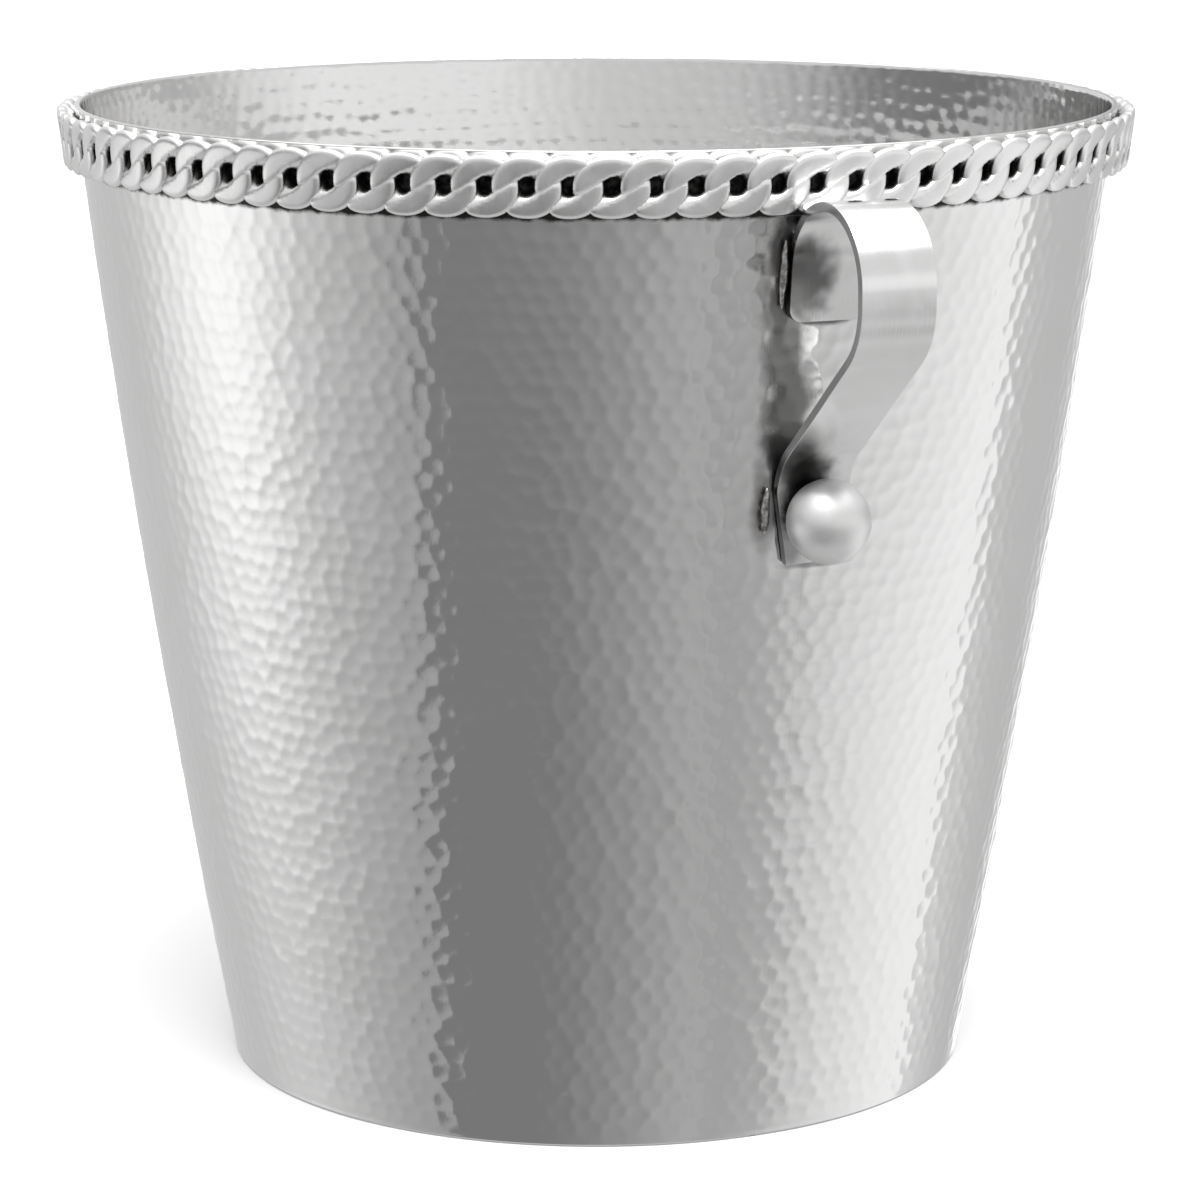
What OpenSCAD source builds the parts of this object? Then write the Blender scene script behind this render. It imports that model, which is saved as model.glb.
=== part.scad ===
// Hammered ice bucket with a flat curb chain round its rim and two riveted strap handles.
// The origin is the centre of the underside, +Z is up, and the handles are on +X and -X.

/* [Bucket] */
// Height from the underside to the rim
bucket_h = 208; // [190:1:230]
// Outside radius of the wall at the rim
rim_r = 111.3; // [105:0.1:120]
// Outside radius of the wall at the underside
foot_r = 80.4; // [74:0.1:90]
// How far the wall bows out from a straight cone at half height
wall_bow = 1.8; // [0:0.1:3]
// Thickness of the wall sheet
wall_t = 1.3; // [1:0.1:2]
// Thickness of the base disc
base_t = 1.5; // [1:0.1:3]

/* [Rim chain] */
// Number of links round the rim
link_count = 88; // [84:4:92]
// Diameter of the wire the links are bent from
wire_d = 3.6; // [3.2:0.1:3.6]
// Height of a link across the band
link_h = 12.2; // [11.5:0.1:13]
// Thickness of the chain after both of its faces are filed flat
chain_t = 3.7; // [3.4:0.1:3.8]
// How far the chain's upper edge sits below the rim
chain_drop = 0.8; // [0.5:0.1:2]

/* [Handles] */
// Width of the handle strap
strap_w = 15.8; // [14:0.1:18]
// Thickness of the handle strap
strap_t = 1.8; // [1.4:0.1:2.2]
// Outside radius of the finger loop
loop_r = 15.5; // [13:0.1:16]
// Height of the loop's straight outer side, between its upper and lower curves
loop_drop = 3; // [0:0.5:5]
// Height at which the strap leaves the wall to start its loop
leaf_top_z = 185.3; // [182:0.1:187]
// Length of the leaf that lies on the wall below that height
leaf_l = 11.2; // [9:0.1:13]
// Slope of the straight run below the loop, from level
run_angle = 40; // [36:1:50]
// Inside radius of the bend above the foot
foot_bend_r = 14; // [5:0.5:18]
// Height of the foot's lower end
foot_end_z = 125; // [122:0.5:127]
// Diameter of the ball head
ball_d = 16.8; // [14:0.1:18]
// Height of the rivet where it passes through the wall
rivet_z = 136.2; // [134:0.1:138]
// Diameter of the rivet's shank
shank_d = 5; // [4:0.1:6]

/* [Hidden] */
$fn = 96;
gap = 0.06;                          // clearance between pieces that are soldered or riveted together
wall_steps = 16;                     // cones that make up the bowed wall
edge_r = 1.1;                        // rounding of the wall's lower outside edge
rim_round = 0.4;                     // rounding of the rim's edges
links_per_node = 4;
chain_nodes = link_count / links_per_node;
ring_count = 12;                     // sections round one link
side_count = 6;                      // sides of the wire's section
link_rise = 2.25;                    // how far the wire swings in front of and behind the band's middle
ball_flat = 1;                       // how much of the ball is filed away where it meets the foot
bore_clearance = 0.05;               // radial clearance round the shank
tail_d = 8.6;                        // peened end inside the bucket
tail_t = 1.4;
leaf_corner_r = 2.8;                 // rounding of the leaf's lower corners
foot_taper_z = 140;                  // height below which the foot is trimmed
foot_skew = [-4.8, 9.2];             // side edges of the foot's lower end, which leans to one side
foot_tilt = 0.8;                     // how much higher the foot's leaning corner ends
bead_r = 0.75;                       // radius of a weld bead

steel = [0.72, 0.73, 0.74];
bright_steel = [0.86, 0.87, 0.88];
dark_steel = [0.5, 0.5, 0.51];

function two_digits(n) = str(n < 10 ? "0" : "", n);
function chain_name(n) = str("chain_links_", two_digits(n));

// ---- the wall's profile ----
function wall_r(z) = foot_r + (rim_r - foot_r) * z / bucket_h
    + 4 * wall_bow * (z / bucket_h) * (1 - z / bucket_h);
function wall_lean(z) = atan((rim_r - foot_r) / bucket_h
    + 4 * wall_bow * (1 - 2 * z / bucket_h) / bucket_h);
function inner_r(z) = wall_r(z) - wall_t / cos(wall_lean(z));
function wall_point(z) = [wall_r(z), z];
function wall_out(z) = [cos(wall_lean(z)), -sin(wall_lean(z))];   // outward across the wall, as [radius, z]

module wall_profile() {
    z_low = edge_r;
    z_high = bucket_h - rim_round;
    heights = [for (k = [0:wall_steps]) z_low + (z_high - z_low) * k / wall_steps];
    corner = [for (k = [0:4]) [
        wall_r(edge_r) - edge_r + edge_r * cos(-90 + 90 * k / 5),
        edge_r + edge_r * sin(-90 + 90 * k / 5)]];
    polygon(concat(
        corner,
        [for (z = heights) wall_point(z)],
        [[wall_r(bucket_h) - rim_round, bucket_h], [inner_r(bucket_h) + rim_round, bucket_h]],
        [for (k = [0:wall_steps]) let (z = heights[wall_steps - k]) [inner_r(z), z]],
        [[inner_r(0), 0]]));
}

module bucket_wall() {
    color(steel)
    difference() {
        rotate_extrude() wall_profile();
        for (turn = [0, 180]) rotate(turn) rivet_bore();
    }
}

module base_disc() {
    color(dark_steel)
    rotate_extrude()
    polygon([[0, 0], [inner_r(0) - gap, 0], [inner_r(base_t) - gap, base_t], [0, base_t]]);
}

// ---- the rim chain ----
chain_z = bucket_h - chain_drop - link_h / 2;        // middle of the band, along the wall
chain_lean = wall_lean(chain_z);
chain_off = gap + 0.04 + chain_t / 2;                // wall face to the middle of the chain
chain_r = wall_r(chain_z) + chain_off * cos(chain_lean);
link_pitch = 2 * PI * chain_r / link_count;
link_a = link_pitch / 2 + wire_d / 2 + 0.27;         // half length of a link's centreline
link_b = link_h / 2 - wire_d / 2;                    // half height of a link's centreline

// A link's centreline is an oval that swings in front of and behind the band twice a turn.
function link_centre(t) = [link_a * cos(t), link_b * sin(t), -link_rise * sin(2 * t)];
function link_heading(t) = let (v = [-link_a * sin(t), link_b * cos(t), -2 * link_rise * cos(2 * t)])
    v / norm(v);
function link_point(t, q) =
    let (ahead = link_heading(t),
         side_raw = cross(ahead, [0, 0, 1]),
         side = side_raw / norm(side_raw),
         up = cross(side, ahead),
         section_r = wire_d / 2 / sqrt(cos(180 / side_count)),
         p = link_centre(t) + section_r * (side * cos(q) + up * sin(q)))
    [p.x, p.y, max(-chain_t / 2, min(chain_t / 2, p.z))];
// x runs along the rim, y up the wall and z out of it
function on_rim(p, place) =
    let (turn = 360 * (p.x / link_pitch + place) / link_count,
         r = chain_r + p.y * sin(chain_lean) + p.z * cos(chain_lean),
         z = chain_z - chain_off * sin(chain_lean) + p.y * cos(chain_lean) - p.z * sin(chain_lean))
    [r * cos(turn), r * sin(turn), z];

module link(place) {
    points = [for (i = [0:ring_count - 1]) for (k = [0:side_count - 1])
        on_rim(link_point(360 * i / ring_count, 30 + 360 * k / side_count), place)];
    faces = [for (i = [0:ring_count - 1]) for (k = [0:side_count - 1])
        let (i2 = (i + 1) % ring_count, k2 = (k + 1) % side_count)
        each [[i * side_count + k, i2 * side_count + k2, i * side_count + k2],
              [i * side_count + k, i2 * side_count + k, i2 * side_count + k2]]];
    polyhedron(points, faces);
}

module chain_links(n) {
    color(bright_steel)
    for (k = [0:links_per_node - 1]) link((n - 1) * links_per_node + k + 0.5);
}

// ---- the handles ----
// The strap's side view is drawn as [radius, z] and extruded across its width.
leaf_lean = wall_lean(leaf_top_z);
loop_c = wall_point(leaf_top_z) + (loop_r + gap) * wall_out(leaf_top_z);
loop_low_c = loop_c - [0, loop_drop];                          // centre of the loop's lower curve
run_out = [cos(run_angle - 90), sin(run_angle - 90)];         // out of the straight run's outer face
run_down = [-cos(run_angle), -sin(run_angle)];                // along the straight run
foot_z = (foot_end_z + foot_taper_z) / 2;
foot_lean = wall_lean(foot_z);
bend_reach = foot_bend_r + strap_t + gap;
run_start = loop_low_c + (loop_r + foot_bend_r) * run_out;
run_l = (bend_reach - (run_start - wall_point(foot_z)) * wall_out(foot_z)) / (run_down * wall_out(foot_z));
bend_c = run_start + run_l * run_down;
foot_l = (bend_c.y - foot_end_z) / cos(foot_lean) + 4;

function arc_points(centre, r, from, to, steps) = [for (k = [0:steps])
    let (turn = from + (to - from) * k / steps) centre + r * [cos(turn), sin(turn)]];

module strap_side() {
    top_turn = [180 - leaf_lean, 0];                          // over the top, from the wall to the outer side
    low_turn = [0, run_angle - 90];                           // from the outer side to the run
    bend_turn = [90 + run_angle, 180 - foot_lean];            // from the run to the foot
    leaf_down = leaf_l * [-sin(leaf_lean), -cos(leaf_lean)];
    foot_down = foot_l * [-sin(foot_lean), -cos(foot_lean)];
    outer_loop = concat(
        arc_points(loop_c, loop_r, top_turn[0], top_turn[1], 20),
        arc_points(loop_low_c, loop_r, low_turn[0], low_turn[1], 8));
    inner_loop = concat(
        arc_points(loop_low_c, loop_r - strap_t, low_turn[1], low_turn[0], 8),
        arc_points(loop_c, loop_r - strap_t, top_turn[1], top_turn[0], 20));
    outer_bend = arc_points(bend_c, foot_bend_r, bend_turn[0], bend_turn[1], 6);
    inner_bend = arc_points(bend_c, foot_bend_r + strap_t, bend_turn[1], bend_turn[0], 6);
    polygon(concat(
        [outer_loop[0] + leaf_down],
        outer_loop,
        outer_bend,
        [outer_bend[6] + foot_down, inner_bend[0] + foot_down],
        inner_bend,
        inner_loop,
        [inner_loop[len(inner_loop) - 1] + leaf_down]));
}

module strap_front() {
    half = strap_w / 2;
    polygon([[-half, bucket_h + 5], [-half, foot_taper_z], [foot_skew[0], foot_end_z],
             [foot_skew[1], foot_end_z + foot_tilt], [half, foot_taper_z], [half, bucket_h + 5]]);
}

// What is cut away to round the leaf's lower corners, drawn as [across, up the leaf] from its top end.
module leaf_corners() {
    half = strap_w / 2;
    past = 1;
    centre = [half - leaf_corner_r, leaf_corner_r - leaf_l];
    translate([loop_c.x, 0, loop_c.y]) rotate([0, leaf_lean, 0]) translate([-loop_r - past / 2, 0, 0])
    rotate([90, 0, 90]) linear_extrude(strap_t + past)
    for (side = [0, 1]) mirror([side, 0])
        polygon(concat(
            arc_points(centre, leaf_corner_r, 0, -90, 4),
            [[centre.x, -leaf_l - past], [half + past, -leaf_l - past], [half + past, centre.y]]));
}

// Draws its children on the rivet's axis, with z = 0 on the wall's outer face and +Z outward.
module on_rivet_axis() {
    translate([wall_r(rivet_z), 0, rivet_z]) rotate([0, 90 + wall_lean(rivet_z), 0]) children();
}

module rivet_bore() {
    bore_l = 12;
    on_rivet_axis() translate([0, 0, -bore_l / 2]) cylinder(h = bore_l, d = shank_d + 2 * bore_clearance);
}

module handle_strap() {
    color(bright_steel)
    difference() {
        intersection() {
            rotate([90, 0, 0]) linear_extrude(strap_w + 4, center = true) strap_side();
            rotate([90, 0, 90]) linear_extrude(2 * rim_r) strap_front();
        }
        leaf_corners();
        rivet_bore();
    }
}

module ball_rivet() {
    seat = gap + strap_t + gap;                  // outer face of the foot, and the gap under the ball
    centre = seat + ball_d / 2 - ball_flat;
    inside = -wall_t - 0.2;                      // where the peened end meets the inner face
    color(bright_steel)
    on_rivet_axis() {
        difference() {
            translate([0, 0, centre]) sphere(d = ball_d);
            translate([-ball_d, -ball_d, seat - ball_d]) cube([2 * ball_d, 2 * ball_d, ball_d]);
        }
        translate([0, 0, inside - tail_t / 2]) cylinder(h = centre - inside + tail_t / 2, d = shank_d);
        translate([0, 0, inside - tail_t]) cylinder(h = tail_t, d1 = shank_d, d2 = tail_d);
    }
}

// A bead follows [along the wall's height, radius factor] steps beside one edge of the strap.
module weld_bead(edge_y, steps) {
    color(dark_steel)
    for (k = [0:len(steps) - 2]) hull() for (s = [steps[k], steps[k + 1]]) {
        r = bead_r * s[1];
        at = wall_point(s[0]) + (r + 2 * gap) * wall_out(s[0]);
        translate([at.x * cos(edge_y / at.x * 180 / PI) - 0.02, edge_y - r, at.y]) sphere(r, $fn = 16);
    }
}

module leaf_weld() {
    weld_bead(-strap_w / 2 - 0.15, [[176.5, 0.8], [181, 1.2], [186, 1.1], [190.5, 0.8]]);
}

module foot_weld() {
    weld_bead(-strap_w / 2 - 0.55, [[131.5, 0.8], [134, 1.3], [138, 1.1], [141, 0.7]]);
}

bucket_wall();
base_disc();
handle_strap();  // handle_strap_right
rotate(180) handle_strap();  // handle_strap_left
ball_rivet();  // ball_rivet_right
rotate(180) ball_rivet();  // ball_rivet_left
leaf_weld();  // leaf_weld_right
rotate(180) leaf_weld();  // leaf_weld_left
foot_weld();  // foot_weld_right
rotate(180) foot_weld();  // foot_weld_left
for (n = [1:chain_nodes]) chain_links(n);
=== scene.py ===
import math

import bmesh
import bpy
import numpy as np
from mathutils import Matrix, Vector


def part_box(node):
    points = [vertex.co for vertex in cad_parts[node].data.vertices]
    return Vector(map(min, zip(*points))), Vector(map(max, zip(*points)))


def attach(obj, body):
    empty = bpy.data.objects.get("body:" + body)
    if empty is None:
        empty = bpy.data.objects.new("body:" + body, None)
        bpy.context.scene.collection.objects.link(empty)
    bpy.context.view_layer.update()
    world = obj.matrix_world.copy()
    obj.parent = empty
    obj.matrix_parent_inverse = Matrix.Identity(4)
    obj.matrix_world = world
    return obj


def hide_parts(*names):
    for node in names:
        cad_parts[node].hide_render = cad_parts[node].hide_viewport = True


# Hammered steel ice bucket with a filed curb chain round its rim and two riveted strap handles.
# Everything is in metres in the CAD frame: +Z up, handles on +X and -X.

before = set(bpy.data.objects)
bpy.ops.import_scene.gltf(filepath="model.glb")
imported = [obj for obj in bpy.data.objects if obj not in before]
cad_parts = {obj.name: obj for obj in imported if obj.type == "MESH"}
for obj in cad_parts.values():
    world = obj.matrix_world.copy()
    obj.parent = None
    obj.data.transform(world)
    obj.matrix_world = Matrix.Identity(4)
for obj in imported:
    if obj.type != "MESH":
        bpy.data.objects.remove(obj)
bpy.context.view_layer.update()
scene = bpy.context.scene
mm = 0.001
fullTurn = 2 * math.pi
print("frame loaded:", len(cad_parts), "CAD nodes")


# ---- what the CAD says ----

def cadPoints(nodeNames):
    rows = []
    for nodeName in nodeNames:
        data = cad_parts[nodeName].data
        places = np.zeros(len(data.vertices) * 3, np.float32)
        data.vertices.foreach_get("co", places)
        rows.append(places.reshape(-1, 3))
    return np.vstack(rows).astype(float)


def wallSections():
    # the heights at which the CAD wall has a whole ring of corners, with both radii there
    points = cadPoints(["bucket_wall"])
    radii = np.hypot(points[:, 0], points[:, 1])
    levels = np.round(points[:, 2], 6)
    heights = []
    outer = []
    inner = []
    for level in np.unique(levels):
        ring = radii[levels == level]
        if len(ring) > 150:
            heights.append(level)
            outer.append(ring.max())
            inner.append(ring.min())
    return np.array(heights), np.array(outer), np.array(inner)


wallHeights, wallOuter, wallInner = wallSections()
bucketHeight = float(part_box("bucket_wall")[1].z)
wallThick = float(np.median(wallOuter[2:-2] - wallInner[2:-2]))

fullRows = wallOuter - wallInner > 0.8 * wallThick      # leaves out the rounded corner and rim
bowCurve = np.polyfit(wallHeights[fullRows], wallOuter[fullRows], 2)


def wallRadius(height):
    return np.polyval(bowCurve, height)


def wallLean(height):
    return math.atan(np.polyval(np.polyder(bowCurve), height))


def wallOut(height):
    lean = wallLean(height)
    return Vector((math.cos(lean), 0, -math.sin(lean)))


def wallPoint(height):
    return Vector((float(wallRadius(height)), 0, height))


chainNodes = sorted(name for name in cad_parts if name.startswith("chain_links"))
chainPoints = cadPoints(chainNodes)
chainHeight = float(chainPoints[:, 2].min() + chainPoints[:, 2].max()) / 2
chainLean = wallLean(chainHeight)
chainOffs = ((np.hypot(chainPoints[:, 0], chainPoints[:, 1]) - wallRadius(chainPoints[:, 2]))
             * math.cos(chainLean))
chainOff = float(chainOffs.min() + chainOffs.max()) / 2     # wall face to the middle of the chain
chainHalf = float(chainOffs.max() - chainOffs.min()) / 2


# ---- helpers for meshes ----

def finishMesh(bm, name, sharpAngle=40):
    bmesh.ops.recalc_face_normals(bm, faces=bm.faces)
    mesh = bpy.data.meshes.new(name)
    bm.to_mesh(mesh)
    bm.free()
    mesh.shade_smooth()
    mesh.set_sharp_from_angle(angle=math.radians(sharpAngle))
    piece = bpy.data.objects.new(name, mesh)
    scene.collection.objects.link(piece)
    return piece


def spinProfile(points, steps, closed=True):
    # points are (radius, height); the profile turns about Z
    bm = bmesh.new()
    verts = [bm.verts.new((radius, 0, height)) for radius, height in points]
    edges = [bm.edges.new(pair) for pair in zip(verts, verts[1:])]
    if closed:
        edges.append(bm.edges.new((verts[-1], verts[0])))
    bmesh.ops.spin(bm, geom=verts + edges, axis=(0, 0, 1), cent=(0, 0, 0), dvec=(0, 0, 0),
                   angle=fullTurn, steps=steps, use_merge=True)
    bmesh.ops.remove_doubles(bm, verts=bm.verts, dist=1e-6)
    return bm


def readPlaces(bm):
    return np.array([vert.co for vert in bm.verts])


def writePlaces(bm, places):
    for vert, place in zip(bm.verts, places):
        vert.co = place


rippleWaves = 5


def ripple(places, size, seed):
    # a smooth wandering value near -1 to 1 at each place, for small hand-made unevenness
    picks = np.random.default_rng(seed)
    total = np.zeros(len(places))
    for _ in range(rippleWaves):
        direction = picks.normal(size=3)
        direction /= np.linalg.norm(direction)
        pitch = size * picks.uniform(0.7, 1.5)
        total += np.sin(places @ direction * fullTurn / pitch + picks.uniform(0, fullTurn))
    return total / 3


def setDown(piece, material, nodes=()):
    piece.data.materials.append(material)
    if nodes:
        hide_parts(*nodes)
    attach(piece, "root")
    return piece


# ---- helpers for materials ----

noiseRoughness = 0.55


def newFinish(name):
    material = bpy.data.materials.new(name)
    material.use_nodes = True
    tree = material.node_tree
    shader = tree.nodes["Principled BSDF"]
    return material, tree, shader


def addNode(tree, kind, **settings):
    node = tree.nodes.new(kind)
    for key, value in settings.items():
        setattr(node, key, value)
    return node


def mathNode(tree, operation, first, second=None, third=None, clamp=False):
    node = addNode(tree, "ShaderNodeMath", operation=operation, use_clamp=clamp)
    for socket, value in zip(node.inputs, (first, second, third)):
        if value is None:
            continue
        if isinstance(value, (int, float)):
            socket.default_value = value
        else:
            tree.links.new(value, socket)
    return node.outputs[0]


def rangeNode(tree, value, fromMin, fromMax, toMin=0.0, toMax=1.0):
    node = addNode(tree, "ShaderNodeMapRange", interpolation_type="SMOOTHSTEP")
    tree.links.new(value, node.inputs["Value"])
    node.inputs["From Min"].default_value = fromMin
    node.inputs["From Max"].default_value = fromMax
    node.inputs["To Min"].default_value = toMin
    node.inputs["To Max"].default_value = toMax
    return node.outputs["Result"]


def mixColour(tree, factor, first, second):
    node = addNode(tree, "ShaderNodeMix", data_type="RGBA")
    tree.links.new(factor, node.inputs["Factor"])
    for socket, value in ((node.inputs["A"], first), (node.inputs["B"], second)):
        if isinstance(value, tuple):
            socket.default_value = value
        else:
            tree.links.new(value, socket)
    return node.outputs["Result"]


def noiseNode(tree, vector, size, detail=3.0):
    # size is the length of one bump in metres
    node = addNode(tree, "ShaderNodeTexNoise")
    tree.links.new(vector, node.inputs["Vector"])
    node.inputs["Scale"].default_value = 1 / size
    node.inputs["Detail"].default_value = detail
    node.inputs["Roughness"].default_value = noiseRoughness
    return node.outputs["Fac"]


def grey(value, warmth=0.0):
    return (value * (1 + warmth), value, value * (1 - warmth), 1.0)


def newGroup(name, inputs, outputs):
    # inputs are (name, kind, value) and outputs (name, kind)
    group = bpy.data.node_groups.new(name, "ShaderNodeTree")
    for socketName, kind, value in inputs:
        socket = group.interface.new_socket(socketName, in_out="INPUT", socket_type=kind)
        if value is not None:
            socket.default_value = value
    for socketName, kind in outputs:
        group.interface.new_socket(socketName, in_out="OUTPUT", socket_type=kind)
    return group, group.nodes.new("NodeGroupInput"), group.nodes.new("NodeGroupOutput")


def makeGrainGroup():
    # fine polishing lines along one direction, and broad handling smudges
    group, source, result = newGroup(
        "polishGrain",
        [("Vector", "NodeSocketVector", None), ("Stretch", "NodeSocketVector", (1, 1, 1)),
         ("Line Size", "NodeSocketFloat", 3000.0), ("Smudge Size", "NodeSocketFloat", 40.0)],
        [("Lines", "NodeSocketFloat"), ("Smudge", "NodeSocketFloat")])
    stretch = addNode(group, "ShaderNodeVectorMath", operation="MULTIPLY")
    group.links.new(source.outputs["Vector"], stretch.inputs[0])
    group.links.new(source.outputs["Stretch"], stretch.inputs[1])
    lines = addNode(group, "ShaderNodeTexNoise")
    lines.inputs["Detail"].default_value = 2.0
    group.links.new(stretch.outputs[0], lines.inputs["Vector"])
    group.links.new(source.outputs["Line Size"], lines.inputs["Scale"])
    smudge = addNode(group, "ShaderNodeTexNoise")
    smudge.inputs["Detail"].default_value = 4.0
    smudge.inputs["Distortion"].default_value = 0.6
    group.links.new(source.outputs["Vector"], smudge.inputs["Vector"])
    group.links.new(source.outputs["Smudge Size"], smudge.inputs["Scale"])
    group.links.new(rangeNode(group, lines.outputs["Fac"], 0.3, 0.7), result.inputs["Lines"])
    group.links.new(rangeNode(group, smudge.outputs["Fac"], 0.35, 0.68), result.inputs["Smudge"])
    return group


def makeConeGroup():
    # how far a point stands off the wall round the rim, in metres
    group, source, result = newGroup(
        "offTheWall",
        [("Vector", "NodeSocketVector", None), ("Radius", "NodeSocketFloat", 0.1),
         ("Height", "NodeSocketFloat", 0.2), ("Slope", "NodeSocketFloat", 0.1)],
        [("Off", "NodeSocketFloat"), ("Up", "NodeSocketFloat")])
    parts = addNode(group, "ShaderNodeSeparateXYZ")
    group.links.new(source.outputs["Vector"], parts.inputs[0])
    squareX = mathNode(group, "MULTIPLY", parts.outputs["X"], parts.outputs["X"])
    squareY = mathNode(group, "MULTIPLY", parts.outputs["Y"], parts.outputs["Y"])
    radius = mathNode(group, "SQRT", mathNode(group, "ADD", squareX, squareY))
    up = mathNode(group, "SUBTRACT", parts.outputs["Z"], source.outputs["Height"])
    wall = mathNode(group, "MULTIPLY_ADD", up, source.outputs["Slope"], source.outputs["Radius"])
    group.links.new(mathNode(group, "SUBTRACT", radius, wall), result.inputs["Off"])
    group.links.new(up, result.inputs["Up"])
    return group


def makePaintedShadeGroup():
    # painted shade with ragged edges round a point of the right handle, and its twin on the left one
    group, source, result = newGroup(
        "handlePaintedShade",
        [("Vector", "NodeSocketVector", None), ("Centre", "NodeSocketVector", (0, 0, 0)),
         ("Reach", "NodeSocketVector", (0.01, 0.01, 0.01))],
        [("Mask", "NodeSocketFloat")])
    parts = addNode(group, "ShaderNodeSeparateXYZ")
    group.links.new(source.outputs["Vector"], parts.inputs[0])
    side = mathNode(group, "SIGN", parts.outputs["X"])
    joined = addNode(group, "ShaderNodeCombineXYZ")
    group.links.new(mathNode(group, "MULTIPLY", parts.outputs["X"], side), joined.inputs["X"])
    group.links.new(mathNode(group, "MULTIPLY", parts.outputs["Y"], side), joined.inputs["Y"])
    group.links.new(parts.outputs["Z"], joined.inputs["Z"])
    offset = addNode(group, "ShaderNodeVectorMath", operation="SUBTRACT")
    group.links.new(joined.outputs[0], offset.inputs[0])
    group.links.new(source.outputs["Centre"], offset.inputs[1])
    scaled = addNode(group, "ShaderNodeVectorMath", operation="DIVIDE")
    group.links.new(offset.outputs[0], scaled.inputs[0])
    group.links.new(source.outputs["Reach"], scaled.inputs[1])
    length = addNode(group, "ShaderNodeVectorMath", operation="LENGTH")
    group.links.new(scaled.outputs[0], length.inputs[0])
    ragged = noiseNode(group, joined.outputs[0], 4.5 * mm, detail=1.5)
    reach = mathNode(group, "MULTIPLY_ADD", ragged, 0.8, mathNode(group, "SUBTRACT",
                     length.outputs["Value"], 0.4))
    group.links.new(rangeNode(group, reach, 1.3, 0.55), result.inputs["Mask"])
    return group


grainGroup = makeGrainGroup()
coneGroup = makeConeGroup()
paintedShadeGroup = makePaintedShadeGroup()


def useGroup(tree, group, **values):
    node = addNode(tree, "ShaderNodeGroup")
    node.node_tree = group
    for key, value in values.items():
        socket = node.inputs[key.replace("_", " ")]
        if isinstance(value, (float, tuple, Vector)):
            socket.default_value = value
        else:
            tree.links.new(value, socket)
    return node


def bumpNode(tree, height, depth, shader):
    node = addNode(tree, "ShaderNodeBump")
    node.inputs["Strength"].default_value = 1.0
    node.inputs["Distance"].default_value = depth
    tree.links.new(height, node.inputs["Height"])
    tree.links.new(node.outputs["Normal"], shader.inputs["Normal"])


def objectPlace(tree):
    return addNode(tree, "ShaderNodeTexCoord").outputs["Object"]


def startSteel(name, finish):
    # polished metal with fine lines and broad smudges; each finish then adds its own marks
    material, tree, shader = newFinish(name)
    place = objectPlace(tree)
    grain = useGroup(tree, grainGroup, Vector=place, Stretch=finish["stretch"],
                     Line_Size=finish["lineSize"], Smudge_Size=finish["smudgeSize"])
    shader.inputs["Metallic"].default_value = 1.0
    return material, tree, shader, place, grain


def grainTint(tree, grain, finish):
    return mixColour(tree, grain.outputs["Smudge"], grey(finish["dark"], finish["warmth"]),
                     grey(finish["light"]))


def grainRoughness(tree, grain, finish):
    rough = mathNode(tree, "MULTIPLY_ADD", grain.outputs["Smudge"], finish["smudgeRoughness"],
                     finish["roughness"])
    return mathNode(tree, "MULTIPLY_ADD", grain.outputs["Lines"], finish["lineRoughness"], rough)


# ---- finishes ----

outsideFinish = {
    "stretch": (1.0, 1.0, 0.12),
    "lineSize": 2600.0,
    "smudgeSize": 32.0,
    "colour": 0.80,
    "roughness": 0.07,
    "smudgeRoughness": 0.035,
    "lineRoughness": 0.02,
}
insideFinish = outsideFinish | {"colour": 0.78, "roughness": 0.09}
smudgeDulling = 0.975
pits = {"size": 1.3 * mm, "depth": 0.012 * mm}
patinaAndShade = {
    "colour": 0.035,
    "warmth": 0.04,
    "roughness": 0.3,              # added where the patina and painted shade lie
    "noiseSize": 3 * mm,           # of the ragged lower edge of the patina behind the chain, which is also a painted shadow line under it
    "noiseReach": 1.8 * mm,
    "low": (0.1 * mm, 1.1 * mm),   # above the band's lower edge, where the mark starts and is full
    "high": (0.9 * mm, 1.4 * mm),  # below its upper edge
}


def makeHammeredSteel(name, finish, shadeMarks):
    material, tree, shader, place, grain = startSteel(name, finish)
    colour = finish["colour"]
    tint = mixColour(tree, grain.outputs["Smudge"], grey(colour * smudgeDulling, 0.004),
                     grey(colour, 0.002))
    rough = grainRoughness(tree, grain, finish)
    if shadeMarks:
        # patina behind the chain, painted near black so the wall seen through the links' holes reads as
        # shade, with a ragged painted shadow line just below the chain
        cone = useGroup(tree, coneGroup, Vector=place, Radius=float(wallRadius(chainHeight)),
                        Height=chainHeight, Slope=math.tan(chainLean))
        bandHalf = float(chainPoints[:, 2].max() - chainPoints[:, 2].min()) / 2
        ragged = noiseNode(tree, place, patinaAndShade["noiseSize"], detail=4)
        low = mathNode(tree, "MULTIPLY_ADD", ragged, patinaAndShade["noiseReach"], cone.outputs["Up"])
        band = rangeNode(tree, low, *(edge - bandHalf for edge in patinaAndShade["low"]))
        high = rangeNode(tree, cone.outputs["Up"], *(bandHalf - edge for edge in patinaAndShade["high"]))
        mask = mathNode(tree, "MULTIPLY", band, high)
        # painted shade and painted reflection of the handles on the wall
        for shadeMark in shadeMarks:
            mask = mathNode(tree, "MAXIMUM", mask, paintedShadeMask(tree, place, shadeMark))
        tint = mixColour(tree, mask, tint, grey(patinaAndShade["colour"], patinaAndShade["warmth"]))
        rough = mathNode(tree, "MULTIPLY_ADD", mask, patinaAndShade["roughness"], rough, clamp=True)
    tree.links.new(tint, shader.inputs["Base Color"])
    tree.links.new(rough, shader.inputs["Roughness"])
    bumpNode(tree, noiseNode(tree, place, pits["size"], detail=2), pits["depth"], shader)
    return material


def paintedShadeAt(radius, across, height, reach, strength):
    # across and height place the painted shade in mm, and reach is half its size each way
    return {"centre": (radius, across * mm, height * mm),
            "reach": tuple(size * mm for size in reach), "strength": strength}


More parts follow.
